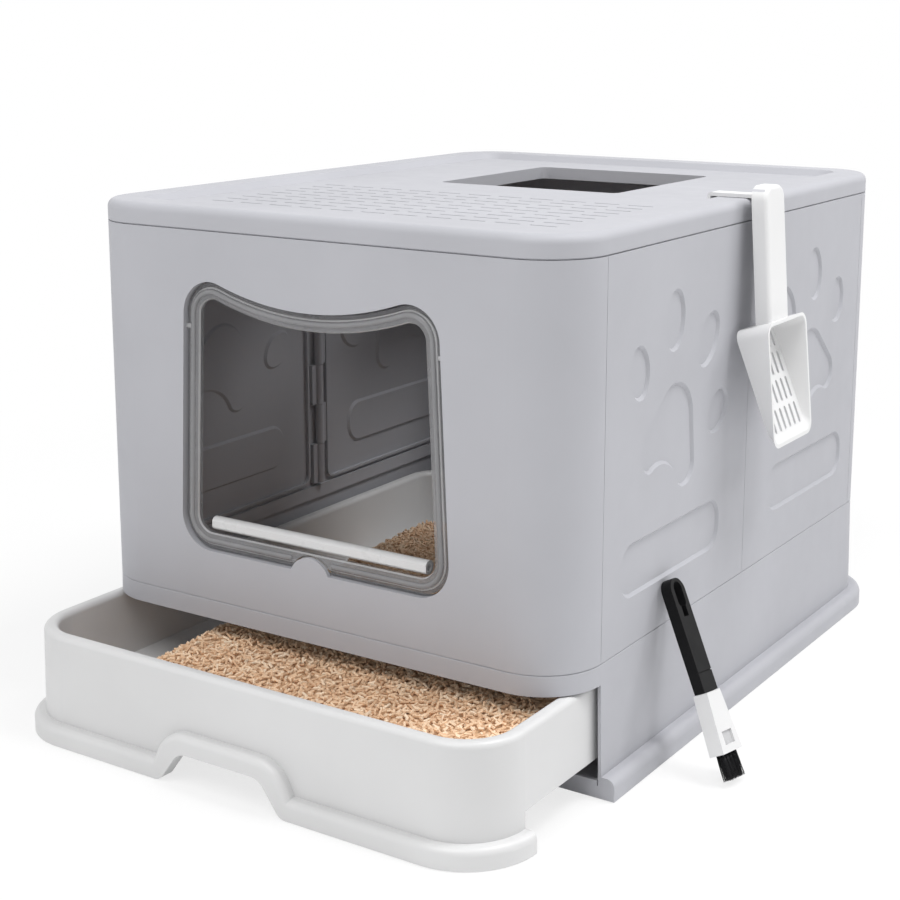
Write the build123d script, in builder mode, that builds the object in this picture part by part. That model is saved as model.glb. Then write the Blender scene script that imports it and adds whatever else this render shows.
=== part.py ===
from build123d import *
import os

# Foldable litter box with a hatch in its lid, a clear front flap, a litter drawer, a scoop and a brush.
# Millimetres. X runs to the right, the front faces -Y, Z is up from the floor under the middle of the base.

# Walls and overall size
wall_width = 400.0
wall_depth = 525.4
corner_radius = 44.0
base_height = 92.0
wall_height = 262.0
skin = 2.4
seam_gap = 0.4
seam_relief = 0.8
seat_gap = 0.3
fit_gap = 0.4

# Base
base_flare = 2.0
flange_out = 11.5
flange_height = 15.0
flange_round = 6.0
floor_lift = 6.0
floor_thick = 2.5
floor_lip_height = 12.0
floor_lip_thick = 3.0
foot_pan_width = 280.0
foot_pan_length = 380.0
foot_pan_corner = 20.0
rail_height = 14.0
bead_height = 5.0
lip_thick = 2.0
lip_height = 6.0
runner_spread = 300.0
runner_thick = 4.0
runner_setback = 14.0

# Door opening in the front wall, and the flap in it
door_sill = 128.0
door_sill_width = 228.0
door_head = 331.5
door_head_width = 209.0
door_dip = 306.0
door_sill_corner = 25.0
door_head_corner = 24.0
collar_wall = 2.4
collar_depth = 9.0
tab_radius = 17.0
tab_drop = 6.5
tab_thick = 3.0
door_gap = 1.2
pivot_height = 287.0
pivot_radius = 2.0
pivot_reach = 5.0
pivot_boss_wall = 2.6
running_gap = 0.05
flap_setback = 5.0
flap_rim_thick = 5.0
flap_edge_width = 2.6
flap_rim_width = 8.0
flap_round = 1.2
pocket_draft = 30.0
pane_thick = 2.4
bar_length = 182.0
bar_radius = 4.8
bar_height = 146.0
bar_bore = 2.6
bar_flat_depth = 0.6

# Hinges between the wall panels
hinge_radius = 3.6
pin_radius = 1.5
pin_head_radius = 2.6
pin_head_height = 1.6
knuckle_count = 7
knuckle_gap = 0.4
hinge_web = 9.0
hinge_margin = 3.0

# Stiffening frame and sunk motifs of the side panels
frame_margin = 12.0
frame_width = 2.0
frame_depth = 3.0
frame_corner = 9.0
relief_depth = 2.0
relief_draft = 45.0
paw_offset = 123.0
paw_height = 221.5
paw_tilt = 21.5
pad_top_radius = 27.0
pad_top_rise = 10.0
pad_foot_radius = 15.0
pad_foot_spread = 54.0
pad_foot_drop = 15.0
pad_arch_radius = 30.0
pad_arch_rise = 11.0
pad_arch_blend = 8.0
inner_toe_spread = 57.0
inner_toe_rise = 73.5
inner_toe_splay = 15.0
inner_toe_width = 28.0
inner_toe_length = 42.0
outer_toe_spread = 130.0
outer_toe_rise = 30.0
outer_toe_splay = 30.0
outer_toe_width = 27.0
outer_toe_length = 37.0
toe_end_radius = 10.5
bar_motif_offset = 119.5
bar_motif_length = 150.0
bar_motif_height = 37.0
bar_motif_corner = 16.0
bar_motif_level = 143.5

# Lid
lid_skirt = 15.4
lid_round = 6.0
rim_width = 26.0
deck_drop = 5.0
deck_slope = 45.0
lid_lip = 6.0
hatch_width = 160.0
hatch_length = 165.0
hatch_corner = 6.0
hatch_middle = 99.5
hatch_collar = 10.0
groove_length = 20.0
groove_width = 2.2
groove_depth = 0.9
groove_pitch_x = 27.0
groove_pitch_y = 17.0
groove_columns = 11
groove_rows = 9
groove_middle = -118.0

# Drawer, shown pulled out
drawer_pull = 84.0
drawer_half_width = 194.6
drawer_setback = 0.7
drawer_rear_gap = 10.0
drawer_front_corner = 42.0
drawer_rear_corner = 30.0
drawer_flare = 1.6
drawer_top = 77.0
tray_bottom = 25.0
tray_floor = 3.0
tray_rim = 10.0
tray_draft = 4.0
rim_round = 4.0
apron_gap = 1.2
drawer_flange_out = 9.5
drawer_flange_height = 14.0
drawer_flange_round = 5.0
notch_height = 23.0
notch_top_width = 68.0
notch_foot_width = 102.0
notch_top_corner = 13.0
notch_foot_corner = 9.0
notch_band = 13.0
notch_shift = -5.0

# Litter heap in the drawer
litter_top = 64.0
litter_gap = 0.4
litter_front_left = -118.0
litter_rear_left = -165.0
litter_rear = 105.0
litter_slope_run = 48.0

# Scoop on the lid's right rim
scoop_place = -5.0
scoop_wall = 2.2
hook_reach = 7.5
hook_width = 14.0
hook_strip = 2.6
hook_bend = 2.0
handle_width = 33.0
handle_depth = 11.5
handle_rise = 10.5
handle_end_radius = 10.0
handle_round = 3.0
handle_top_gap = 6.0
handle_foot_gap = 13.5
handle_foot = 281.0
bowl_width = 70.0
bowl_floor_width = 62.0
bowl_corner = 9.0
bowl_back_gap = 3.5
bowl_back_top = 279.0
bowl_rim_gap = 30.0
bowl_rim_top = 287.5
bowl_foot_gap = 38.5
bowl_foot = 199.0
bowl_lip_depth = 5.0
bowl_lip_rise = 5.0
slot_length = 16.0
slot_width = 3.4
slot_pitch = 8.6
slot_row_pitch = 19.5
slot_columns = 6
slot_rows = 4

# Brush leaning on the right wall
brush_length = 137.0
brush_foot_y = -150.0
brush_shift = 20.0
brush_lean = 61.0
brush_width = 18.0
brush_thick = 8.0
loop_width = 10.0
loop_length = 18.0
loop_wall = 2.5
loop_step_width = 6.0
loop_step_length = 6.0
grip_groove = 0.8
grip_groove_place = 72.5
sleeve_foot = 18.0
sleeve_top = 59.0
sleeve_foot_width = 26.0
sleeve_thick = 11.0
neck_width = 13.0
neck_thick = 5.0
window_width = 13.0
window_height = 9.0
window_place = 27.5
window_depth = 1.4
backing_width = 23.0
backing_depth = 8.0
backing_thick = 2.0
strand_columns = 24
strand_rows = 14
strand_side = 0.36
tuft_margin = 1.0

# Places that follow from the sizes
half_width = wall_width / 2
half_depth = wall_depth / 2
seam_y = half_depth - corner_radius
floor_top = floor_lift + floor_thick
rail_bottom = base_height - rail_height
wall_bottom = base_height + seat_gap
wall_top = wall_bottom + wall_height
lip_inset = skin + fit_gap
hinge_x = half_width - skin - fit_gap - hinge_radius
knuckle_bottom = base_height + lip_height + hinge_margin
knuckle_top = wall_top - lid_lip - hinge_margin - pin_head_height
knuckle_pitch = (knuckle_top - knuckle_bottom) / knuckle_count
lid_bottom = wall_top + seat_gap
lid_top = lid_bottom + lid_skirt
deck = lid_top - deck_drop
drawer_front = half_depth - drawer_setback
drawer_rear = half_depth - skin - drawer_rear_gap
apron_end = -seam_y - drawer_pull - apron_gap
tray_floor_top = tray_bottom + tray_floor

os.makedirs("parts", exist_ok=True)


def save(piece, name):
    piece.part.label = name
    export_step(piece.part, f"parts/{name}.step")


def plan(inset, height):
    """The rounded plan of the walls, drawn in by inset, at a height."""
    with BuildSketch(Plane.XY.offset(height)) as outline:
        RectangleRounded(wall_width - 2 * inset, wall_depth - 2 * inset, corner_radius - inset)
    return outline.sketch


def ring(outer_inset, inner_inset, height):
    """The band between two plans of the walls."""
    with BuildSketch(Plane.XY.offset(height)) as band:
        add(plan(outer_inset, 0))
        add(plan(inner_inset, 0), mode=Mode.SUBTRACT)
    return band.sketch


def door_outline(growth, forward):
    """The door opening, grown or drawn in evenly, in a plane so far forward of the middle."""
    with BuildSketch(Plane.XZ.offset(forward)) as outline:
        with BuildLine():
            sill = Line((-door_sill_width / 2, door_sill), (door_sill_width / 2, door_sill))
            jamb = Line(sill @ 1, (door_head_width / 2, door_head))
            head = ThreePointArc(jamb @ 1, (0, door_dip), (-door_head_width / 2, door_head))
            Line(head @ 1, sill @ 0)
        make_face()
        corners = outline.vertices().group_by(Axis.Y)
        fillet(corners[0], door_sill_corner)
        fillet(outline.vertices().group_by(Axis.Y)[-1], door_head_corner)
        if growth:
            offset(amount=growth)
    return outline.sketch


def tray_outline(inset, height):
    """The drawer's plan where it is shown, drawn in by inset, at a height."""
    with BuildSketch(Plane((0, -drawer_pull, height))) as outline:
        with Locations((0, drawer_rear - inset)):
            length = drawer_front + drawer_rear - 2 * inset
            Rectangle(2 * (drawer_half_width - inset), length, align=(Align.CENTER, Align.MAX))
        fillet(outline.vertices().group_by(Axis.Y)[0], drawer_front_corner - inset)
        fillet(outline.vertices().group_by(Axis.Y)[-1], drawer_rear_corner - inset)
    return outline.sketch


def notch_outline(growth, forward):
    """The drawer's hand-hold seen from the front, grown evenly, in a plane so far forward of the middle."""
    with BuildSketch(Plane.XZ.offset(forward)) as outline:
        foot = notch_foot_width / 2 + growth
        top = notch_top_width / 2 + growth
        with BuildLine():
            Polyline(
                (notch_shift - foot, 0),
                (notch_shift - top, notch_height + growth),
                (notch_shift + top, notch_height + growth),
                (notch_shift + foot, 0),
                close=True,
            )
        make_face()
        fillet(outline.vertices().group_by(Axis.Y)[-1], notch_top_corner + growth)
    return outline.sketch


def knuckles(x, y, toward, first):
    """Every second barrel of one hinge, each with its web to the panel on one side of the seam."""
    outer = half_width - skin / 2
    inward = 1 if x > 0 else -1
    for index in range(first, knuckle_count, 2):
        foot = knuckle_bottom + index * knuckle_pitch
        height = knuckle_pitch - knuckle_gap
        low = (Align.CENTER, Align.CENTER, Align.MIN)
        with Locations((x, y, foot)):
            Cylinder(hinge_radius, height, align=low)
        with Locations((inward * (outer + hinge_x) / 2, y + toward * (hinge_web + fit_gap) / 2, foot)):
            Box(outer - hinge_x, hinge_web - fit_gap, height, align=low)
    with Locations((x, y, knuckle_bottom)):
        Cylinder(
            pin_radius + running_gap,
            knuckle_top - knuckle_bottom,
            align=(Align.CENTER, Align.CENTER, Align.MIN),
            mode=Mode.SUBTRACT,
        )


def paw_pad():
    """The large pad of a paw print: the hull of three circles, arched at its foot."""
    foot_line = -pad_foot_drop - pad_foot_radius
    with BuildSketch() as pad:
        with Locations((0, pad_top_rise)):
            Circle(pad_top_radius)
        with Locations((-pad_foot_spread / 2, -pad_foot_drop), (pad_foot_spread / 2, -pad_foot_drop)):
            Circle(pad_foot_radius)
        make_hull()
        with Locations((0, foot_line + pad_arch_rise - pad_arch_radius)):
            Circle(pad_arch_radius, mode=Mode.SUBTRACT)
        fillet(pad.vertices().group_by(Axis.Y)[0], pad_arch_blend)
    return pad.sketch


def paw_toe(width, length):
    """One toe of a paw print: an oval of four arcs that run smoothly into each other."""
    half = width / 2
    rise = length / 2 - toe_end_radius
    side_radius = (half**2 - toe_end_radius**2 + rise**2) / (2 * (half - toe_end_radius))
    share = toe_end_radius / (side_radius - toe_end_radius)
    join = share * (side_radius - half)
    level = rise + share * rise
    with BuildSketch() as toe:
        with BuildLine():
            ThreePointArc((-join, level), (0, length / 2), (join, level))
            ThreePointArc((join, level), (half, 0), (join, -level))
            ThreePointArc((join, -level), (0, -length / 2), (-join, -level))
            ThreePointArc((-join, -level), (-half, 0), (-join, level))
        make_face()
    return toe.sketch


def side_motif(end, plane):
    """A paw print over a rounded bar, in the plane of a side panel; the two ends mirror each other."""
    with BuildSketch(plane) as motif:
        with Locations(Location((end * paw_offset, paw_height, 0), (0, 0, end * paw_tilt))):
            add(paw_pad())
            for side in (-1, 1):
                inner_place = (side * inner_toe_spread / 2, inner_toe_rise, 0)
                with Locations(Location(inner_place, (0, 0, -side * inner_toe_splay))):
                    add(paw_toe(inner_toe_width, inner_toe_length))
                outer_place = (side * outer_toe_spread / 2, outer_toe_rise, 0)
                with Locations(Location(outer_place, (0, 0, -side * outer_toe_splay))):
                    add(paw_toe(outer_toe_width, outer_toe_length))
        with Locations((end * bar_motif_offset, bar_motif_level)):
            RectangleRounded(bar_motif_length, bar_motif_height, bar_motif_corner)
    return motif.sketch


# Base: flared walls on three sides, a rail over the drawer, a floor and a foot flange
with BuildPart() as base:
    extrude(plan(-flange_out, 0), amount=flange_height)
    fillet(base.edges().filter_by_position(Axis.Z, flange_height, flange_height), flange_round)
    loft([plan(-base_flare, 0), plan(0, base_height - seam_relief)])
    loft([plan(0, base_height - seam_relief), plan(seam_relief, base_height)])
    loft([plan(skin - base_flare, floor_top), plan(skin, base_height)], mode=Mode.SUBTRACT)
    with BuildSketch():
        add(plan(skin - flange_out, 0))
        with Locations((0, -seam_y + skin)):
            Rectangle(2 * wall_width, wall_depth, align=(Align.CENTER, Align.MAX), mode=Mode.SUBTRACT)
    extrude(amount=floor_lift, mode=Mode.SUBTRACT)
    with BuildSketch():
        RectangleRounded(foot_pan_width, foot_pan_length, foot_pan_corner)
    extrude(amount=floor_top)
    with BuildSketch(Plane.XY.offset(floor_thick)):
        RectangleRounded(
            foot_pan_width - 2 * floor_thick,
            foot_pan_length - 2 * floor_thick,
            foot_pan_corner - floor_thick,
        )
    extrude(amount=floor_top, mode=Mode.SUBTRACT)
    extrude(ring(seam_relief, lip_inset + lip_thick, base_height - bead_height), amount=bead_height)
    extrude(ring(lip_inset, lip_inset + lip_thick, base_height), amount=lip_height)
    with Locations((0, -seam_y, 0)):
        Box(
            2 * wall_width,
            wall_depth,
            rail_bottom,
            align=(Align.CENTER, Align.MAX, Align.MIN),
            mode=Mode.SUBTRACT,
        )
    with Locations((0, -seam_y, floor_lift)):
        Box(
            wall_width - skin,
            floor_lip_thick,
            floor_lip_height - floor_lift,
            align=(Align.CENTER, Align.MIN, Align.MIN),
        )
    with Locations(
        (-runner_spread / 2, -seam_y + runner_setback, floor_lift),
        (runner_spread / 2, -seam_y + runner_setback, floor_lift),
    ):
        Box(
            runner_thick,
            seam_y + drawer_rear - runner_setback,
            tray_bottom - seat_gap - floor_lift,
            align=(Align.CENTER, Align.MIN, Align.MIN),
        )
save(base, "base")

# Front wall: round both corners, with the framed door opening and the half-moon tab on its sill
with BuildPart() as front_panel:
    extrude(ring(0, skin, wall_bottom), amount=wall_height)
    split(bisect_by=Plane((0, -seam_y - seam_gap / 2, 0), z_dir=(0, -1, 0)), keep=Keep.TOP)
    extrude(door_outline(collar_wall, half_depth), amount=-collar_depth)
    pivot_x = door_sill_width / 2 - (door_sill_width - door_head_width) / 2 * (
        (pivot_height - door_sill) / (door_head - door_sill)
    )
    boss_length = pivot_reach + pivot_boss_wall
    for sign in (-1, 1):
        with Locations((sign * pivot_x, -half_depth + flap_setback, pivot_height)):
            with Locations(Location((sign * boss_length / 2, 0, 0), (0, 90, 0))):
                Cylinder(pivot_radius + pivot_boss_wall, boss_length)
    extrude(door_outline(0, half_depth), amount=-2 * collar_depth, mode=Mode.SUBTRACT)
    for sign in (-1, 1):
        with Locations((sign * pivot_x, -half_depth + flap_setback, pivot_height)):
            with Locations(Location((0, 0, 0), (0, 90, 0))):
                Cylinder(pivot_radius + running_gap, 2 * (pivot_reach + running_gap), mode=Mode.SUBTRACT)
    with BuildSketch(Plane.XZ.offset(half_depth)):
        with Locations((0, door_sill - tab_drop)):
            Circle(tab_radius)
        with Locations((0, door_sill)):
            Rectangle(4 * tab_radius, 2 * tab_radius, align=(Align.CENTER, Align.MIN), mode=Mode.INTERSECT)
    extrude(amount=-tab_thick)
    for sign in (-1, 1):
        knuckles(sign * hinge_x, -seam_y, -1, 0)
save(front_panel, "front_panel")

# Rear wall: the front wall's plain twin
with BuildPart() as rear_panel:
    extrude(ring(0, skin, wall_bottom), amount=wall_height)
    split(bisect_by=Plane((0, seam_y + seam_gap / 2, 0), z_dir=(0, 1, 0)), keep=Keep.TOP)
    for sign in (-1, 1):
        knuckles(sign * hinge_x, seam_y, 1, 0)
save(rear_panel, "rear_panel")

# Side walls: two halves each, with a stiffening frame inside and the motif sunk from outside
for end, sign in (("front", -1), ("rear", 1)):
    with BuildPart() as right_half:
        middle = sign * seam_y / 2
        with Locations((half_width, middle, wall_bottom)):
            Box(skin, seam_y - seam_gap, wall_height, align=(Align.MAX, Align.CENTER, Align.MIN))
        with BuildSketch(Plane.YZ.offset(half_width - skin)):
            with Locations((middle, (knuckle_bottom + knuckle_top) / 2)):
                frame_length = seam_y - 2 * frame_margin
                frame_height = knuckle_top - knuckle_bottom
                RectangleRounded(frame_length, frame_height, frame_corner)
                RectangleRounded(
                    frame_length - 2 * frame_width,
                    frame_height - 2 * frame_width,
                    frame_corner - frame_width,
                    mode=Mode.SUBTRACT,
                )
        extrude(amount=-frame_depth)
        inner_motif = side_motif(sign, Plane.YZ.offset(half_width - skin))
        extrude(inner_motif, amount=-relief_depth, taper=relief_draft)
        outer_motif = side_motif(sign, Plane.YZ.offset(half_width))
        extrude(outer_motif, amount=-relief_depth, taper=relief_draft, mode=Mode.SUBTRACT)
        knuckles(hinge_x, sign * seam_y, -sign, 1)
        knuckles(hinge_x, 0, sign, 0 if sign < 0 else 1)
    save(right_half, f"right_{end}_panel")
    with BuildPart() as left_half:
        mirror(right_half.part, about=Plane.YZ)
    save(left_half, f"left_{end}_panel")

# Hinge pins: one down each of the six seams, with a small head on top
for side, sign in (("left", -1), ("right", 1)):
    for place, seam in (("front", -seam_y), ("middle", 0), ("rear", seam_y)):
        with BuildPart() as hinge_pin:
            with Locations((sign * hinge_x, seam, knuckle_bottom)):
                Cylinder(
                    pin_radius,
                    knuckle_top - knuckle_bottom,
                    align=(Align.CENTER, Align.CENTER, Align.MIN),
                )
            with Locations((sign * hinge_x, seam, knuckle_top)):
                Cylinder(
                    pin_head_radius,
                    pin_head_height,
                    align=(Align.CENTER, Align.CENTER, Align.MIN),
                )
        save(hinge_pin, f"{side}_{place}_hinge_pin")

# Lid: flush skirt, rounded rim, sunk deck with rows of short grooves, hatch with a turned-down edge
with BuildPart() as lid:
    extrude(plan(0, lid_bottom), amount=lid_skirt)
    fillet(lid.edges().filter_by_position(Axis.Z, lid_top, lid_top), lid_round)
    extrude(ring(-seam_relief, seam_relief, lid_bottom), amount=seam_relief, mode=Mode.SUBTRACT)
    extrude(plan(rim_width, lid_top), amount=-deck_drop, taper=deck_slope, mode=Mode.SUBTRACT)
    extrude(plan(skin, lid_bottom), amount=lid_skirt - deck_drop - skin, mode=Mode.SUBTRACT)
    under_rim = ring(lip_inset + lip_thick, rim_width, lid_bottom)
    extrude(under_rim, amount=lid_skirt - skin, mode=Mode.SUBTRACT)
    lip_rise = lid_lip + lid_skirt - deck_drop - skin
    extrude(ring(lip_inset, lip_inset + lip_thick, lid_bottom - lid_lip), amount=lip_rise)
    with BuildSketch(Plane.XY.offset(deck)):
        with Locations((0, hatch_middle)):
            collar = 2 * skin
            RectangleRounded(hatch_width + collar, hatch_length + collar, hatch_corner + skin)
    extrude(amount=-hatch_collar)
    with BuildSketch(Plane.XY.offset(deck)):
        with Locations((0, hatch_middle)):
            RectangleRounded(hatch_width, hatch_length, hatch_corner)
    extrude(amount=-hatch_collar, mode=Mode.SUBTRACT)
    with BuildSketch(Plane.XY.offset(deck)):
        with Locations((0, groove_middle)):
            with GridLocations(groove_pitch_x, groove_pitch_y, groove_columns, groove_rows):
                Rectangle(groove_length, groove_width)
    extrude(amount=-groove_depth, mode=Mode.SUBTRACT)
save(lid, "lid")

# Flap: thin clear pane with a raised bead round it, a notch round the tab and two stub pivots
flap_plane = half_depth - flap_setback
bead_face = flap_plane + flap_rim_thick / 2
bead_back = flap_plane - flap_rim_thick / 2
pocket_depth = (flap_rim_thick - pane_thick) / 2
with BuildPart() as door_flap:
    extrude(door_outline(-door_gap - flap_edge_width, bead_face), amount=-flap_rim_thick)
    fillet(door_flap.edges().filter_by_position(Axis.Y, -bead_face, -bead_face), flap_round)
    fillet(door_flap.edges().filter_by_position(Axis.Y, -bead_back, -bead_back), flap_round)
    pocket_growth = -door_gap - flap_edge_width - flap_rim_width
    extrude(
        door_outline(pocket_growth, bead_face),
        amount=-pocket_depth,
        taper=pocket_draft,
        mode=Mode.SUBTRACT,
    )
    extrude(
        door_outline(pocket_growth, bead_back),
        amount=pocket_depth,
        taper=pocket_draft,
        mode=Mode.SUBTRACT,
    )
    extrude(door_outline(-door_gap, flap_plane + pane_thick / 2), amount=-pane_thick)
    with BuildSketch(Plane.XZ.offset(half_depth)):
        with Locations((0, door_sill - tab_drop)):
            Circle(tab_radius + door_gap)
    extrude(amount=-2 * collar_depth, mode=Mode.SUBTRACT)
    pin_length = pivot_reach + door_gap + flap_edge_width
    pin_middle = pivot_x + pivot_reach - pin_length / 2
    for sign in (-1, 1):
        with Locations(Location((sign * pin_middle, -flap_plane, pivot_height), (0, 90, 0))):
            Cylinder(pivot_radius, pin_length)
save(door_flap, "door_flap")

# Weight bar: a round white bar, flattened where it lies against the pane, hollow at both ends
bar_flat = -flap_plane + pane_thick / 2
with BuildPart() as door_weight_bar:
    with Locations(Location((0, bar_flat + bar_radius - bar_flat_depth, bar_height), (0, 90, 0))):
        Cylinder(bar_radius, bar_length)
        Cylinder(bar_bore, bar_length, mode=Mode.SUBTRACT)
    split(bisect_by=Plane((0, bar_flat, 0), z_dir=(0, 1, 0)), keep=Keep.TOP)
save(door_weight_bar, "door_weight_bar")

# Drawer: double-walled tray with a rounded rim, a front apron with a foot flange and a hand-hold
flange_front = drawer_front + drawer_pull + drawer_flange_out
apron_back = drawer_front + drawer_pull - skin
with BuildPart() as notch_frame:
    extrude(notch_outline(notch_band, flange_front), amount=apron_back - flange_front)
    front_edges = notch_frame.edges().filter_by_position(Axis.Y, -flange_front, -flange_front)
    fillet(front_edges - front_edges.filter_by_position(Axis.Z, 0, 0), drawer_flange_round)
with BuildPart() as drawer:
    extrude(tray_outline(-drawer_flange_out, 0), amount=drawer_flange_height)
    fillet(
        drawer.edges().filter_by_position(Axis.Z, drawer_flange_height, drawer_flange_height),
        drawer_flange_round,
    )
    loft([tray_outline(-drawer_flare, 0), tray_outline(0, drawer_top)])
    add(notch_frame.part)
    loft(
        [tray_outline(skin - drawer_flare, 0), tray_outline(skin, drawer_top - skin)],
        mode=Mode.SUBTRACT,
    )
    loft([tray_outline(tray_rim + tray_draft - skin, tray_bottom), tray_outline(tray_rim - skin, drawer_top)])
    loft(
        [tray_outline(tray_rim + tray_draft, tray_floor_top), tray_outline(tray_rim, drawer_top)],
        mode=Mode.SUBTRACT,
    )
    fillet(drawer.edges().filter_by_position(Axis.Z, drawer_top, drawer_top), rim_round)
    with Locations((0, apron_end, 0)):
        Box(
            2 * wall_width,
            2 * wall_depth,
            tray_bottom,
            align=(Align.CENTER, Align.MIN, Align.MIN),
            mode=Mode.SUBTRACT,
        )
    extrude(notch_outline(0, flange_front), amount=2 * (apron_back - flange_front), mode=Mode.SUBTRACT)
    foot_edges = drawer.edges().filter_by(Axis.Y).filter_by_position(Axis.Z, 0, 0)
    notch_reach = notch_foot_width / 2 + abs(notch_shift) + seat_gap
    fillet(foot_edges.filter_by_position(Axis.X, -notch_reach, notch_reach), notch_foot_corner)
save(drawer, "drawer")

# Litter: a low heap against the drawer's front and right walls, sloping away to the left and the rear
litter_front = -drawer_front - drawer_pull + tray_rim + tray_draft + litter_gap
litter_right = drawer_half_width - tray_rim - tray_draft - litter_gap
litter_corner = drawer_front_corner - tray_rim - tray_draft


def litter_outline(drawn_in, height):
    """The heap's plan at a height, drawn in from its free left and rear sides."""
    with BuildSketch(Plane.XY.offset(height)) as outline:
        with BuildLine():
            Polyline(
                (litter_front_left + drawn_in, litter_front),
                (litter_right, litter_front),
                (litter_right, litter_rear - drawn_in),
                (litter_rear_left / 2, litter_rear - drawn_in),
                (litter_rear_left + drawn_in, litter_rear / 2),
                close=True,
            )
        make_face()
        fillet(outline.vertices().sort_by(Axis((0, 0, 0), (1, -1, 0)))[-1], litter_corner)
    return outline.sketch


with BuildPart() as litter_bed:
    loft([litter_outline(0, tray_floor_top + seat_gap), litter_outline(litter_slope_run, litter_top)])
save(litter_bed, "litter_bed")

# Scoop: channel handle with a hook over the lid's rim behind it, and an open bowl with a slotted floor
def slanted(upper, lower):
    """The outward plane, level across the scoop, midway between an upper and a lower point of its profile."""
    across, down = lower[0] - upper[0], lower[1] - upper[1]
    middle = ((upper[0] + lower[0]) / 2, scoop_place, (upper[1] + lower[1]) / 2)
    return Plane(middle, x_dir=(0, 1, 0), z_dir=(-down, 0, across))


def reach(upper, lower):
    return ((lower[0] - upper[0]) ** 2 + (lower[1] - upper[1]) ** 2) ** 0.5


def bowl_outline(plane, width, length, inset):
    with BuildSketch(plane) as outline:
        RectangleRounded(width - 2 * inset, length - 2 * inset, bowl_corner - inset)
    return outline.sketch


rim_upper = (half_width + bowl_rim_gap, bowl_rim_top)
rim_lower = (half_width + bowl_foot_gap, bowl_foot)
floor_upper = (half_width + bowl_back_gap, bowl_back_top)
floor_lower = (half_width + bowl_foot_gap - bowl_lip_depth, bowl_foot + bowl_lip_rise)
rim_plane = slanted(rim_upper, rim_lower)
floor_plane = slanted(floor_upper, floor_lower)
rim_length = reach(rim_upper, rim_lower)
floor_length = reach(floor_upper, floor_lower)
hook_level = lid_top + seat_gap + hook_strip / 2
hook_end = half_width - rim_width - hook_reach
hook_place = scoop_place + (handle_width - hook_width) / 2 - scoop_wall
handle_top = lid_top + handle_rise


def handle_profile(back, front, top):
    """The handle's leaning side profile, with its back and front moved outwards and its top at a height."""
    with BuildSketch(Plane.XZ.offset(-scoop_place)) as profile:
        Polygon(
            (half_width + handle_top_gap + back, top),
            (half_width + handle_top_gap + handle_depth + front, top),
            (half_width + handle_foot_gap + handle_depth + front, handle_foot),
            (half_width + handle_foot_gap + back, handle_foot),
            align=None,
        )
    return profile.sketch


with BuildPart() as scoop_handle:
    extrude(handle_profile(0, 0, handle_top), amount=handle_width / 2, both=True)
    end_edges = scoop_handle.edges().filter_by_position(Axis.Z, handle_top, handle_top).filter_by(Axis.X)
    fillet(end_edges, handle_end_radius)
    front_edges = scoop_handle.faces().sort_by(Axis.X)[-1].edges()
    fillet(front_edges - front_edges.filter_by_position(Axis.Z, handle_foot, handle_foot), handle_round)
    channel = handle_profile(-scoop_wall, -scoop_wall, handle_top - scoop_wall)
    extrude(channel, amount=handle_width / 2 - scoop_wall, both=True, mode=Mode.SUBTRACT)

with BuildPart() as scoop:
    loft(
        [
            bowl_outline(rim_plane, bowl_width, rim_length, 0),
            bowl_outline(floor_plane, bowl_floor_width, floor_length, 0),
        ]
    )
    add(scoop_handle.part)
    with BuildSketch(Plane.XZ.offset(-hook_place)):
        with BuildLine():
            FilletPolyline(
                (hook_end, deck + seat_gap),
                (hook_end, hook_level),
                (half_width + handle_top_gap + handle_depth - scoop_wall / 2, hook_level),
                radius=hook_bend,
            )
        trace(line_width=hook_strip)
    extrude(amount=hook_width / 2, both=True)
    loft(
        [
            bowl_outline(rim_plane.offset(seat_gap), bowl_width, rim_length, scoop_wall),
            bowl_outline(floor_plane.offset(scoop_wall), bowl_floor_width, floor_length, scoop_wall),
        ],
        mode=Mode.SUBTRACT,
    )
    with BuildSketch(floor_plane):
        with GridLocations(slot_pitch, slot_row_pitch, slot_columns, slot_rows):
            SlotOverall(slot_length, slot_width, rotation=90)
    extrude(amount=2 * scoop_wall, both=True, mode=Mode.SUBTRACT)
save(scoop, "scoop")

# Brush: its top rests on the right wall under the sunk bar, and its tuft stands on the floor
lean = brush_lean / brush_length
skew = brush_shift / brush_length
brush_axis = Vector(-lean, skew, (1 - lean**2 - skew**2) ** 0.5)
brush_normal = Vector(brush_axis.Z, 0, lean).normalized()
brush_across = brush_axis.cross(brush_normal)
brush_foot_x = half_width + seat_gap + brush_lean + brush_thick / 2 * brush_normal.X
tuft_half_width = backing_width / 2 - tuft_margin + strand_side / 2
tuft_half_depth = backing_depth / 2 - tuft_margin + strand_side / 2
brush_foot_z = seat_gap + tuft_half_width * abs(brush_across.Z) + tuft_half_depth * brush_normal.Z
brush_foot = Vector(brush_foot_x, brush_foot_y, brush_foot_z)
brush_plane = Plane(brush_foot, x_dir=brush_across, z_dir=brush_normal)
tuft_plane = Plane(brush_foot + brush_axis * sleeve_foot, x_dir=brush_across, z_dir=-brush_axis)

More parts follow.
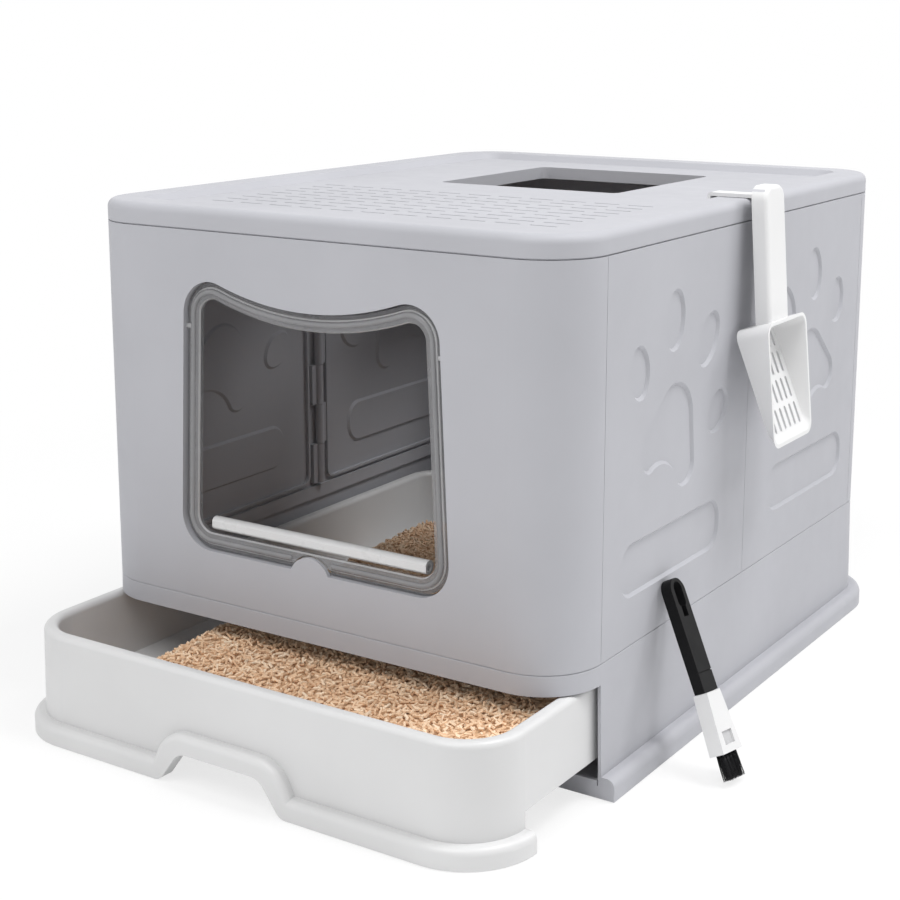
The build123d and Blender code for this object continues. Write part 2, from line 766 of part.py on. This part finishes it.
with BuildPart() as brush_handle:
    with BuildSketch(brush_plane):
        with Locations((0, sleeve_top)):
            grip_length = brush_length - brush_width / 2 - sleeve_top
            Rectangle(brush_width, grip_length, align=(Align.CENTER, Align.MIN))
        with Locations((0, brush_length - brush_width / 2)):
            Circle(brush_width / 2)
        with Locations((0, brush_length - loop_wall - loop_length / 2)):
            SlotOverall(loop_length, loop_width, rotation=90, mode=Mode.SUBTRACT)
        with Locations((0, brush_length - loop_wall - loop_length + loop_width / 2)):
            step_length = loop_step_length + loop_width / 2
            Rectangle(loop_step_width, step_length, align=(Align.CENTER, Align.MAX), mode=Mode.SUBTRACT)
    extrude(amount=brush_thick / 2, both=True)
    with BuildSketch(brush_plane):
        with Locations((0, sleeve_foot)):
            Rectangle(neck_width, sleeve_top - sleeve_foot, align=(Align.CENTER, Align.MIN))
    extrude(amount=neck_thick / 2, both=True)
    with BuildSketch(brush_plane.offset(brush_thick / 2)):
        with Locations((0, grip_groove_place)):
            Rectangle(brush_width, grip_groove)
    extrude(amount=-grip_groove, mode=Mode.SUBTRACT)
save(brush_handle, "brush_handle")

with BuildPart() as brush_sleeve:
    with BuildSketch(brush_plane):
        with BuildLine():
            Polyline(
                (-sleeve_foot_width / 2, sleeve_foot),
                (sleeve_foot_width / 2, sleeve_foot),
                (brush_width / 2, sleeve_top - seat_gap),
                (-brush_width / 2, sleeve_top - seat_gap),
                close=True,
            )
        make_face()
    extrude(amount=sleeve_thick / 2, both=True)
    with BuildSketch(brush_plane):
        with Locations((0, sleeve_foot)):
            Rectangle(neck_width + 2 * seat_gap, sleeve_top, align=(Align.CENTER, Align.MIN))
    extrude(amount=neck_thick / 2 + seat_gap, both=True, mode=Mode.SUBTRACT)
    with BuildSketch(brush_plane.offset(sleeve_thick / 2)):
        with Locations((0, window_place)):
            Rectangle(window_width, window_height)
    extrude(amount=-window_depth, mode=Mode.SUBTRACT)
save(brush_sleeve, "brush_sleeve")

with BuildPart() as brush_bristles:
    with BuildSketch(tuft_plane):
        Rectangle(backing_width, backing_depth)
    extrude(amount=backing_thick)
    with BuildSketch(tuft_plane.offset(backing_thick)):
        strand_pitch_x = (backing_width - 2 * tuft_margin) / (strand_columns - 1)
        strand_pitch_y = (backing_depth - 2 * tuft_margin) / (strand_rows - 1)
        with GridLocations(strand_pitch_x, strand_pitch_y, strand_columns, strand_rows):
            Rectangle(strand_side, strand_side)
    extrude(amount=sleeve_foot - backing_thick)
save(brush_bristles, "brush_bristles")
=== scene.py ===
import math
import random

import bpy
from mathutils import Matrix, Vector, noise


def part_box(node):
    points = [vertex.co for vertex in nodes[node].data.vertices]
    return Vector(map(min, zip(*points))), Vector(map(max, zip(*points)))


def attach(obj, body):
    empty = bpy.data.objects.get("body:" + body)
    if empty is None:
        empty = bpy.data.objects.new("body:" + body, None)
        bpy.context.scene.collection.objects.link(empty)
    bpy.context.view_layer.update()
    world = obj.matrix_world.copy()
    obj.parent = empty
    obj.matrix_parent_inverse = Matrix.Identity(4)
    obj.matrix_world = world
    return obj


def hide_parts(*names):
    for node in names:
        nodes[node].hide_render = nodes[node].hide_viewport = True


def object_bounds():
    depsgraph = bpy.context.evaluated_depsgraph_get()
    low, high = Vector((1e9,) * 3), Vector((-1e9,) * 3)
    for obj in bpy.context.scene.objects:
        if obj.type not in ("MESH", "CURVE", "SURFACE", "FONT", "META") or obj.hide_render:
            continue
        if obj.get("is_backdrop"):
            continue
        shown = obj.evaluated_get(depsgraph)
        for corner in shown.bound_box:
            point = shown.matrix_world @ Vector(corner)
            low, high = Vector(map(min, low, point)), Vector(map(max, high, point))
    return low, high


# Foldable litter box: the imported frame, dressed with materials, loose litter and a bristle tuft.
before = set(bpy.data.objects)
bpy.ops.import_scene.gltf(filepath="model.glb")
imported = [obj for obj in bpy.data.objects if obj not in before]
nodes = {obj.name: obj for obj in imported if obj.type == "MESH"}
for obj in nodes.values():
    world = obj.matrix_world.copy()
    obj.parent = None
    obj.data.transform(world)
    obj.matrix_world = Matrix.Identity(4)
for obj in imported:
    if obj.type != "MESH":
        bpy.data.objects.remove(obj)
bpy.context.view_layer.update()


def put(obj):
    bpy.context.scene.collection.objects.link(obj)
    return obj


# Materials, whose noise mostly stays between these two values
noise_low, noise_high = 0.3, 0.7


class Shader:
    """A Principled material with short calls for the nodes in front of it."""

    def __init__(self, name, colour, roughness, **sockets):
        self.material = bpy.data.materials.new(name)
        self.material.use_nodes = True
        self.tree = self.material.node_tree
        self.bsdf = self.tree.nodes["Principled BSDF"]
        self.bsdf.inputs["Base Color"].default_value = (*colour, 1.0)
        self.bsdf.inputs["Roughness"].default_value = roughness
        for socket, value in sockets.items():
            self.bsdf.inputs[socket.replace("_", " ")].default_value = value
        self.place = self.node("ShaderNodeTexCoord").outputs["Object"]

    def node(self, kind, **settings):
        made = self.tree.nodes.new(kind)
        for name, value in settings.items():
            setattr(made, name, value)
        return made

    def link(self, source, target):
        self.tree.links.new(source, target)

    def noise(self, scale, detail=3.0, rough=0.5):
        made = self.node("ShaderNodeTexNoise")
        made.inputs["Scale"].default_value = scale
        made.inputs["Detail"].default_value = detail
        made.inputs["Roughness"].default_value = rough
        self.link(self.place, made.inputs["Vector"])
        return made.outputs["Fac"]

    def ramp(self, factor, *stops):
        made = self.node("ShaderNodeValToRGB")
        elements = made.color_ramp.elements
        while len(elements) < len(stops):
            elements.new(0.5)
        for element, (position, colour) in zip(elements, stops):
            element.position = position
            element.color = (*colour, 1.0)
        self.link(factor, made.inputs["Fac"])
        return made.outputs["Color"]

    def paint(self, factor, dark, light):
        """Base colour between two tones."""
        tones = self.ramp(factor, (noise_low, dark), (noise_high, light))
        self.link(tones, self.bsdf.inputs["Base Color"])

    def gloss(self, factor, low, high):
        """Roughness between two levels."""
        made = self.node("ShaderNodeMapRange")
        made.inputs["From Min"].default_value = noise_low
        made.inputs["From Max"].default_value = noise_high
        made.inputs["To Min"].default_value = low
        made.inputs["To Max"].default_value = high
        self.link(factor, made.inputs["Value"])
        self.link(made.outputs["Result"], self.bsdf.inputs["Roughness"])

    def bump(self, height, distance, strength, under=None):
        made = self.node("ShaderNodeBump")
        made.inputs["Distance"].default_value = distance
        made.inputs["Strength"].default_value = strength
        self.link(height, made.inputs["Height"])
        if under:
            self.link(under, made.inputs["Normal"])
        self.link(made.outputs["Normal"], self.bsdf.inputs["Normal"])
        return made.outputs["Normal"]


def shade(colour, factor):
    return tuple(min(1.0, value * factor) for value in colour)


def moulded(name, colour, roughness, grain, waviness, **sockets):
    """Moulded plastic: faint cloudy colour, uneven gloss, a fine spark-eroded grain and slow waviness."""
    made = Shader(name, colour, roughness, **sockets)
    made.paint(made.noise(9.0, detail=4.0), shade(colour, 0.965), shade(colour, 1.03))
    made.gloss(made.noise(60.0), roughness - 0.05, roughness + 0.06)
    slow = made.bump(made.noise(7.0, detail=1.0), waviness, strength=0.25)
    made.bump(made.noise(1500.0, detail=2.0), grain, strength=0.35, under=slow)
    return made.material


wall_colour = (0.443, 0.446, 0.477)
white_colour = (0.655, 0.655, 0.657)
grey_colour = (0.52, 0.52, 0.53)
black_colour = (0.006, 0.006, 0.0065)
fine, coarse = 0.00003, 0.00006
wall_plastic = moulded(
    "wall_plastic", wall_colour, roughness=0.55, grain=coarse, waviness=0.0012, Specular_IOR_Level=0.35
)
pin_plastic = moulded("pin_plastic", shade(wall_colour, 0.8), roughness=0.5, grain=coarse, waviness=0.0)
white_plastic = moulded("white_plastic", white_colour, roughness=0.36, grain=fine, waviness=0.0012)
# The scoop and the door's weight bar wear the drawer's white painted lighter, as painted light standing in
# for light they lack.
scoop_plastic = moulded(
    "scoop_plastic", shade(white_colour, 1.15), roughness=0.38, grain=fine, waviness=0.0004
)
bar_plastic = moulded("bar_plastic", shade(white_colour, 1.15), roughness=0.3, grain=fine, waviness=0.0)
sleeve_plastic = moulded(
    "sleeve_plastic", shade(white_colour, 1.1), roughness=0.35, grain=fine, waviness=0.0002
)
window_plastic = moulded("window_plastic", grey_colour, roughness=0.25, grain=fine, waviness=0.0002)
black_plastic = moulded(
    "black_plastic", black_colour, roughness=0.5, grain=0.00005, waviness=0.0002, Specular_IOR_Level=0.15
)


def clear_plastic(name, colour, alpha, roughness):
    """Polished clear plastic with faint flow marks and light scuffs."""
    made = Shader(name, colour, roughness, Alpha=alpha, IOR=1.49)
    made.paint(made.noise(18.0), shade(colour, 0.92), shade(colour, 1.06))
    made.gloss(made.noise(40.0, detail=5.0, rough=0.6), roughness, roughness + 0.08)
    made.bump(made.noise(14.0, detail=2.0), 0.0006, strength=0.3)
    return made.material


pane_plastic = clear_plastic("pane_plastic", (0.05, 0.05, 0.052), alpha=0.03, roughness=0.06)
bead_plastic = clear_plastic("bead_plastic", (0.29, 0.29, 0.30), alpha=0.55, roughness=0.07)
# The slopes' light grey is a painted highlight, and the thin outer edge's dark grey is a painted shade
# line.
slope_painted_highlight = clear_plastic("slope_painted_highlight", (0.62, 0.62, 0.63), alpha=0.6, roughness=0.07)
edge_painted_shade = clear_plastic("edge_painted_shade", (0.20, 0.20, 0.21), alpha=0.5, roughness=0.07)
rib_plastic = clear_plastic("rib_plastic", (0.33, 0.33, 0.34), alpha=0.60, roughness=0.06)


def wood_pellets():
    """Pressed sawdust: each pellet its own tan, flecked and dusty."""
    made = Shader("litter", (0.5, 0.34, 0.2), 0.85)
    island = made.node("ShaderNodeNewGeometry").outputs["Random Per Island"]
    tones = made.ramp(
        island,
        (0.0, (0.74, 0.48, 0.30)),
        (0.35, (0.88, 0.62, 0.41)),
        (0.7, (0.95, 0.71, 0.50)),
        (1.0, (0.98, 0.80, 0.61)),
    )
    flecks = made.noise(900.0, detail=4.0, rough=0.65)
    mixed = made.node("ShaderNodeMix", data_type="RGBA", blend_type="MULTIPLY")
    mixed.inputs["Factor"].default_value = 0.3
    made.link(tones, mixed.inputs["A"])
    made.link(made.ramp(flecks, (0.3, (0.62, 0.58, 0.52)), (0.65, (1.0, 1.0, 1.0))), mixed.inputs["B"])
    made.link(mixed.outputs["Result"], made.bsdf.inputs["Base Color"])
    made.gloss(flecks, 0.95, 0.72)
    made.bump(flecks, 0.0004, strength=0.6)
    return made.material


def litter_dust():
    """The broken pellets under the whole ones: specked tan, rough and dull."""
    made = Shader("litter_dust", (0.24, 0.14, 0.07), 0.95)
    specks = made.noise(420.0, detail=5.0, rough=0.7)
    made.paint(specks, (0.55, 0.36, 0.21), (0.86, 0.60, 0.39))
    made.gloss(specks, 1.0, 0.85)
    made.bump(specks, 0.001, strength=0.8)
    return made.material


def bristle_nylon():
    """Black nylon, each strand a little uneven in tone and gloss."""
    made = Shader("bristle_nylon", (0.008, 0.008, 0.009), 0.4, Specular_IOR_Level=0.25)
    tone = made.noise(1200.0, detail=2.0)
    made.paint(tone, (0.004, 0.004, 0.005), (0.016, 0.016, 0.018))
    made.gloss(tone, 0.3, 0.5)
    made.bump(tone, 0.00005, strength=0.4)
    return made.material


def wear(node, *materials):
    mesh = nodes[node].data
    mesh.materials.clear()
    for material in materials:
        mesh.materials.append(material)
    return mesh


# Pieces that wear one plastic
walls = ["base", "lid", "front_panel", "rear_panel"]
walls += [f"{side}_{end}_panel" for side in ("left", "right") for end in ("front", "rear")]
for name in walls:
    wear(name, wall_plastic)
for side in ("left", "right"):
    for end in ("front", "middle", "rear"):
        wear(f"{side}_{end}_hinge_pin", pin_plastic)
wear("drawer", white_plastic)
wear("scoop", scoop_plastic)
wear("door_weight_bar", bar_plastic)
wear("brush_handle", black_plastic)

# Flap: the pane inside the raised bead is clearer than the bead, its slopes and its thin outer edge; the
# slopes carry a painted highlight and the thin outer edge a painted shade line
flap = wear("door_flap", pane_plastic, bead_plastic, slope_painted_highlight, edge_painted_shade)
pane_face, bead_face, highlight_slope_face, shade_edge_face = range(4)
flap_low, flap_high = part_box("door_flap")
flap_plane = (flap_low.y + flap_high.y) / 2
bead_level, bead_slack = (flap_high.y - flap_low.y) / 2, 0.0001
pane_level, pane_margin = 0.0013, 0.0095
door_sill, door_head, door_dip = 0.128, 0.3315, 0.306
sill_half, head_half = 0.114, 0.1045
head_radius = (head_half**2 + (door_head - door_dip) ** 2) / (2 * (door_head - door_dip))


def well_inside(point):
    """True where a point lies further in from the door's edges than the flap's thin outer edge reaches."""
    half = sill_half + (head_half - sill_half) * (point.z - door_sill) / (door_head - door_sill)
    head = door_dip + head_radius - math.sqrt(head_radius**2 - point.x**2)
    return abs(point.x) < half - pane_margin and door_sill + pane_margin < point.z < head - pane_margin


for polygon in flap.polygons:
    points = [flap.vertices[index].co for index in polygon.vertices]
    levels = [abs(point.y - flap_plane) for point in points]
    if min(levels) > bead_level - bead_slack:
        polygon.material_index = bead_face
    elif max(levels) > pane_level:
        polygon.material_index = highlight_slope_face
    else:
        polygon.material_index = pane_face if all(map(well_inside, points)) else shade_edge_face

# Flap rib: the rounded crown of the bead, open where the wall's tab cuts into it
sill_corner, head_corner = 0.025, 0.024
rib_inset, rib_half, rib_rise, rib_end = 0.0072, 0.0018, 0.0016, 0.0180
rib_sink, rib_sides, arc_steps = 0.0001, 9, 12
cap_reaches, cap_sizes = (0.5, 0.85, 0.98), (0.87, 0.53, 0.2)


def rib_path():
    """Points and outward directions along the right half of the bead, from the tab up to the dip."""
    foot, head = Vector((sill_half, door_sill)), Vector((head_half, door_head))
    along = (head - foot).normalized()
    out = Vector((along.y, -along.x))
    hub = Vector((0, door_dip + head_radius))
    low_line = foot - out * sill_corner
    low_hub = low_line + along * ((door_sill + sill_corner - low_line.y) / along.y)
    high_line = foot - out * head_corner - hub
    reach = high_line.dot(along)
    span = head_radius + head_corner
    root = math.sqrt(reach**2 - high_line.length_squared + span**2)
    high_hub = hub + high_line + along * (-reach - root)
    steep = math.atan2(out.y, out.x)
    dip_way = hub - high_hub
    turn = math.atan2(dip_way.y, dip_way.x)
    path = [(Vector((rib_end, door_sill + rib_inset)), Vector((0, -1)))]
    for centre, radius, start, stop in (
        (low_hub, sill_corner, -math.pi / 2, steep),
        (high_hub, head_corner, steep, turn),
    ):
        for step in range(arc_steps + 1):
            angle = start + (stop - start) * step / arc_steps
            way = Vector((math.cos(angle), math.sin(angle)))
            path.append((centre + way * (radius - rib_inset), way))
    swing = math.asin(-dip_way.x / dip_way.length)
    for step in range(1, arc_steps + 1):
        angle = swing * (1 - step / arc_steps)
        way = Vector((-math.sin(angle), math.cos(angle)))
        path.append((hub - way * (head_radius + rib_inset), way))
    return path


def tube_faces(start, rings, sides):
    """Faces of a closed tube of rings, flat at both ends, whose points begin at start."""
    faces = []
    for ring in range(rings - 1):
        for side in range(sides):
            a = start + ring * sides + side
            b = start + ring * sides + (side + 1) % sides
            faces.append((a, b, b + sides, a + sides))
    faces.append([start + side for side in reversed(range(sides))])
    faces.append([start + (rings - 1) * sides + side for side in range(sides)])
    return faces


def new_mesh(name, verts, faces, smooth=True):
    mesh = bpy.data.meshes.new(name)
    mesh.from_pydata(verts, [], faces)
    if smooth:
        mesh.shade_smooth()
    return mesh


def rib_mesh():
    half = rib_path()
    mirrored = [(Vector((-spot.x, spot.y)), Vector((-way.x, way.y))) for spot, way in half[:-1]]
    path = half + mirrored[::-1]
    for end, towards in ((0, -1), (-1, 1)):
        spot, way = path[end]
        caps = [(spot + Vector((towards * rib_half * reach, 0)), way) for reach in cap_reaches]
        path = caps[::-1] + path if end == 0 else path + caps
    sizes = [*reversed(cap_sizes), *[1.0] * (len(path) - 2 * len(cap_sizes)), *cap_sizes]
    verts = []
    for (spot, way), size in zip(path, sizes):
        for side in range(rib_sides):
            angle = math.pi * side / (rib_sides - 1)
            place = spot + way * rib_half * size * math.cos(angle)
            verts.append((place.x, flap_low.y - rib_rise * size * math.sin(angle) + rib_sink, place.y))
    faces = [(face[0], *reversed(face[1:])) for face in tube_faces(0, len(path), rib_sides)]
    return new_mesh("door_flap_rib", verts, faces)


rib = put(bpy.data.objects.new("door_flap_rib", rib_mesh()))
rib.data.materials.append(rib_plastic)
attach(rib, "flap")

# Brush sleeve: the sunk window on its front is grey
lean, skew = 61.0 / 137.0, 20.0 / 137.0
brush_axis = Vector((-lean, skew, math.sqrt(1 - lean**2 - skew**2)))
brush_normal = Vector((brush_axis.z, 0, lean)).normalized()
brush_across = brush_axis.cross(brush_normal)
window_least, window_most, window_facing = 0.0008, 0.002, 0.9
sleeve = wear("brush_sleeve", sleeve_plastic, window_plastic)
face_reach = max(vertex.co.dot(brush_normal) for vertex in sleeve.vertices)
for polygon in sleeve.polygons:
    depth = face_reach - polygon.center.dot(brush_normal)
    faces_out = polygon.normal.dot(brush_normal) > window_facing
    polygon.material_index = 1 if window_least < depth < window_most and faces_out else 0


# Litter: a dusty heap under a jumble of pellets
random.seed(11)
heap_low, heap_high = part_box("litter_bed")
heap_right, heap_front, heap_rear = heap_high.x, heap_low.y, heap_high.y
heap_floor, heap_top, heap_run = heap_low.z, heap_high.z, 0.048
heap_left_front, heap_left_rear, heap_bend = -0.138, -0.165, 0.0525
heap_corner, corner_gap, heap_ease, heap_taper = 0.028, 0.0018, 0.25, 0.5
heap_bumps = ((0.0022, 26, 0.0), (0.001, 90, 4.0))
heap_pitch, heap_sink, heap_least, heap_lift = 0.006, 0.002, 0.0004, 0.0001


def heap_level(x, y):
    """Height of the heap, sloping down to its free left and rear sides, or None beyond them."""
    spread = heap_left_rear - heap_left_front
    left = heap_left_front + spread * (y - heap_front) / (heap_bend - heap_front)
    if y > heap_bend:
        left = heap_left_rear * (1 - heap_taper * (y - heap_bend) / (heap_rear - heap_bend))
    reach = min(x - left, heap_rear - y)
    if reach <= 0:
        return None
    share = min(1.0, reach / heap_run)
    share = share * share * (3 - 2 * share) * heap_ease + share * (1 - heap_ease)
    bumps = 0
    for rise, scale, layer in heap_bumps:
        bumps += rise * noise.noise(Vector((x * scale, y * scale, layer)))
    return heap_floor + (heap_top - heap_floor) * share + bumps * share


def clear_of_tray(x, y):
    """True inside the tray's rounded front right corner."""
    across, along = x - (heap_right - heap_corner), heap_front + heap_corner - y
    return across < 0 or along < 0 or math.hypot(across, along) < heap_corner - corner_gap


def close_below(verts, faces, floor):
    """Close a sheet into a solid with a flat underside."""
    count = len(verts)
    verts.extend([(x, y, floor) for x, y, z in verts])
    edges = {(face[step - 1], face[step]) for face in faces for step in range(4)}
    rim = [(a, b) for a, b in edges if (b, a) not in edges]
    faces.extend([[index + count for index in reversed(face)] for face in list(faces)])
    faces.extend([(b, a, a + count, b + count) for a, b in sorted(rim)])


def heap_mesh():
    verts, faces, index = [], [], {}
    columns = int((heap_right - heap_left_rear) / heap_pitch) + 1
    rows = int((heap_rear - heap_front) / heap_pitch) + 1
    for row in range(rows):
        for column in range(columns):
            x = heap_right - column * heap_pitch
            y = heap_front + row * heap_pitch
            level = heap_level(x, y)
            if level is not None and clear_of_tray(x, y):
                index[row, column] = len(verts)
                verts.append((x, y, max(level - heap_sink, heap_floor + heap_least)))
    for row in range(rows - 1):
        for column in range(columns - 1):
            corners = [(row, column), (row + 1, column), (row + 1, column + 1), (row, column + 1)]
            if all(corner in index for corner in corners):
                faces.append([index[corner] for corner in corners])
    close_below(verts, faces, heap_floor + heap_lift)
    return new_mesh("litter_heap", verts, faces)


pellet_sides = 5
pellet_rings = ((-1.0, 0.94), (1.0, 1.0))
pellet_pitch, pellet_reach, pellet_margin = 0.0034, 0.003, 0.004
pellet_lengths, pellet_radii = (0.0034, 0.0058), (0.00086, 0.00108)
pellet_sink, pellet_jumble, pellet_tilt = 0.0004, (-0.0008, 0.0012), 0.28


def add_pellet(verts, faces, middle, turn, length, radius):
    faces.extend(tube_faces(len(verts), len(pellet_rings), pellet_sides))
    for along, width in pellet_rings:
        for step in range(pellet_sides):
            angle = 2 * math.pi * step / pellet_sides
            across, up = width * radius * math.cos(angle), width * radius * math.sin(angle)
            verts.append(middle + turn @ Vector((along * length / 2, across, up)))


def pellet_mesh():
    verts, faces = [], []
    y = heap_front + pellet_reach
    while y < heap_rear:
        x = heap_right - pellet_reach
        while x > heap_left_rear:
            across = x + random.uniform(-0.5, 0.5) * pellet_pitch
            place = Vector((across, y + random.uniform(-0.5, 0.5) * pellet_pitch, 0))
            level = heap_level(place.x, place.y)
            length = random.uniform(*pellet_lengths)
            inside = heap_front + pellet_margin < place.y and place.x < heap_right - pellet_margin
            inside = inside and clear_of_tray(place.x + pellet_reach, place.y - pellet_reach)
            if level is not None and inside:
                place.z = level - pellet_sink + random.uniform(*pellet_jumble)
                turn = Matrix.Rotation(random.uniform(0, math.tau), 3, "Z")
                turn = turn @ Matrix.Rotation(random.gauss(0, pellet_tilt), 3, "Y")
                add_pellet(verts, faces, place, turn, length, random.uniform(*pellet_radii))
            x -= pellet_pitch
        y += pellet_pitch
    return new_mesh("litter_pellets", verts, faces, smooth=False)


heap = put(bpy.data.objects.new("litter_heap", heap_mesh()))
heap.data.materials.append(litter_dust())
pellets = put(bpy.data.objects.new("litter_pellets", pellet_mesh()))
pellets.data.materials.append(wood_pellets())
for piece in (heap, pellets):
    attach(piece, "drawer")
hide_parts("litter_bed")

# Bristles: tufts of fine strands that splay a little towards their tips
tuft_length, tuft_width, tuft_depth = 0.018, 0.023, 0.008
low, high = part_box("brush_bristles")
tuft_foot = (low + high) / 2 - brush_axis * tuft_length / 2
tuft_columns, tuft_rows, tuft_strands = 5, 3, 44
side_edge, deep_edge, root_gap, ground_gap = 0.003, 0.0015, 0.0002, 0.0004
root_side, root_deep, tip_side, tip_deep, tip_fan = 0.0012, 0.0009, 0.0009, 0.0006, 0.03
strand_sides, strand_steps, strand_taper = 4, 4, 0.55
strand_lengths, strand_radii = (0.93, 0.995), (0.00011, 0.00016)
strand_bow, strand_sway = 0.0008, 0.0005


def add_strand(verts, faces, root, tip, bend, radius):
    faces.extend(tube_faces(len(verts), strand_steps, strand_sides))
    for step in range(strand_steps):
        share = step / (strand_steps - 1)
        middle = root.lerp(tip, share) + bend * share * (1 - share)
        width = radius * (1.0 - strand_taper * share)
        for side in range(strand_sides):
            angle = math.tau * side / strand_sides
            verts.append(middle + (brush_across * math.cos(angle) + brush_normal * math.sin(angle)) * width)


def bristle_mesh():
    verts, faces = [], []
    root_line = tuft_foot + brush_axis * (tuft_length - root_gap)
    for column in range(tuft_columns):
        for row in range(tuft_rows):
            across = ((column + 0.5) / tuft_columns - 0.5) * (tuft_width - side_edge)
            deep = ((row + 0.5) / tuft_rows - 0.5) * (tuft_depth - deep_edge)
            for strand in range(tuft_strands):
                angle, reach = random.uniform(0, math.tau), math.sqrt(random.random())
                side_step = brush_across * math.cos(angle) * reach
                deep_step = brush_normal * math.sin(angle) * reach
                root = root_line + brush_across * across + brush_normal * deep
                root += side_step * root_side + deep_step * root_deep
                length = tuft_length * random.uniform(*strand_lengths)
                tip = root - brush_axis * length + side_step * tip_side + deep_step * tip_deep
                tip += brush_across * across * tip_fan
                tip.z = max(tip.z, ground_gap)
                bend = side_step * strand_bow + brush_normal * random.uniform(-strand_sway, strand_sway)
                add_strand(verts, faces, root, tip, bend, random.uniform(*strand_radii))
    return new_mesh("brush_tuft", verts, faces)


tuft = put(bpy.data.objects.new("brush_tuft", bristle_mesh()))
tuft.data.materials.append(bristle_nylon())
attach(tuft, "brush")
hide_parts("brush_bristles")

# Floor and soft studio light
floor_reach, floor_drop = 6.0, 0.0006
fade_start, fade_end, fade_least = 0.35, 1.0, 0.75
floor_corners = [(-1, -1), (1, -1), (1, 1), (-1, 1)]
floor_verts = [(x * floor_reach, y * floor_reach, 0) for x, y in floor_corners]
floor = put(bpy.data.objects.new("floor", new_mesh("floor", floor_verts, [(0, 1, 2, 3)], smooth=False)))
floor.location.z = -floor_drop


def plain_rays(tree):
    """1 for rays from the camera, gloss or clear plastic, 0 for the light that falls on things."""
    rays = tree.nodes.new("ShaderNodeLightPath")
    found = rays.outputs["Is Camera Ray"]
    for kind in ("Is Glossy Ray", "Is Transmission Ray"):
        either = tree.nodes.new("ShaderNodeMath")
        either.operation = "MAXIMUM"
        tree.links.new(found, either.inputs[0])
        tree.links.new(rays.outputs[kind], either.inputs[1])
        found = either.outputs["Value"]
    return found


def floor_paint():
    """White paint that keeps the shadow close to the object and runs out into a white backdrop."""
    made = Shader("floor_paint", (0.93, 0.93, 0.93), 0.9)
    made.paint(made.noise(3.0), (0.92, 0.92, 0.92), (0.94, 0.94, 0.94))
    white = made.node("ShaderNodeEmission")
    distance = made.node("ShaderNodeVectorMath", operation="LENGTH")
    made.link(made.place, distance.inputs[0])
    fade = made.node("ShaderNodeMapRange", interpolation_type="SMOOTHSTEP")
    fade.inputs["From Min"].default_value = fade_start
    fade.inputs["From Max"].default_value = fade_end
    fade.inputs["To Min"].default_value = fade_least
    made.link(distance.outputs["Value"], fade.inputs["Value"])
    seen = made.node("ShaderNodeMath", operation="MULTIPLY")
    made.link(fade.outputs["Result"], seen.inputs[0])
    made.link(plain_rays(made.tree), seen.inputs[1])
    mixed = made.node("ShaderNodeMixShader")
    made.link(seen.outputs["Value"], mixed.inputs["Fac"])
    made.link(made.bsdf.outputs["BSDF"], mixed.inputs[1])
    made.link(white.outputs["Emission"], mixed.inputs[2])
    made.link(mixed.outputs["Shader"], made.tree.nodes["Material Output"].inputs["Surface"])
    return made.material


floor.data.materials.append(floor_paint())
floor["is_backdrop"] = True


def soft_light(name, place, target, size, power):
    data = bpy.data.lights.new(name, "AREA")
    data.shape = "RECTANGLE"
    data.size, data.size_y = size
    data.energy = power
    light = put(bpy.data.objects.new(name, data))
    light.location = place
    light.rotation_euler = (Vector(target) - Vector(place)).to_track_quat("-Z", "Y").to_euler()


soft_light("key_light", place=(1.8, 1.5, 1.9), target=(0.1, 0.0, 0.2), size=(0.8, 0.8), power=17)
soft_light("top_light", place=(0.05, -1.5, 2.2), target=(0.0, -0.1, 0.2), size=(1.4, 1.4), power=25)
soft_light("hatch_light", place=(0.95, 0.2, 2.2), target=(0.0, 0.1, 0.3), size=(0.7, 0.7), power=26)
soft_light("front_light", place=(-1.5, -2.2, 0.9), target=(0.0, -0.3, 0.1), size=(2.0, 1.4), power=6)

# World: a low level lights the object, and a white backdrop shows behind it
ambient_level, backdrop_level = 0.46, 1.0
world = bpy.data.worlds.new("studio")
bpy.context.scene.world = world
world.use_nodes = True
sky = world.node_tree
ambient = sky.nodes["Background"]
backdrop = sky.nodes.new("ShaderNodeBackground")
for light, level in ((ambient, ambient_level), (backdrop, backdrop_level)):
    light.inputs["Color"].default_value = (1.0, 1.0, 1.0, 1.0)
    light.inputs["Strength"].default_value = level
chooser = sky.nodes.new("ShaderNodeMixShader")
sky.links.new(plain_rays(sky), chooser.inputs["Fac"])
sky.links.new(ambient.outputs["Background"], chooser.inputs[1])
sky.links.new(backdrop.outputs["Background"], chooser.inputs[2])
sky.links.new(chooser.outputs["Shader"], sky.nodes["World Output"].inputs["Surface"])

# Camera
pitch_down, yaw = 11.56, 33.38
camera_data = bpy.data.cameras.new("camera")
camera_data.lens = 67.86
camera_data.sensor_width = 36.0
camera_data.shift_y = -0.1
camera = put(bpy.data.objects.new("camera", camera_data))
camera.location = (0.6812, -1.1238, 0.4988)
camera.rotation_euler = (math.radians(90 - pitch_down), 0, math.radians(yaw))
bpy.context.scene.camera = camera
bpy.context.scene.view_settings.view_transform = "Standard"

# Bounds of the dressed model, without the floor
low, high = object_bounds()
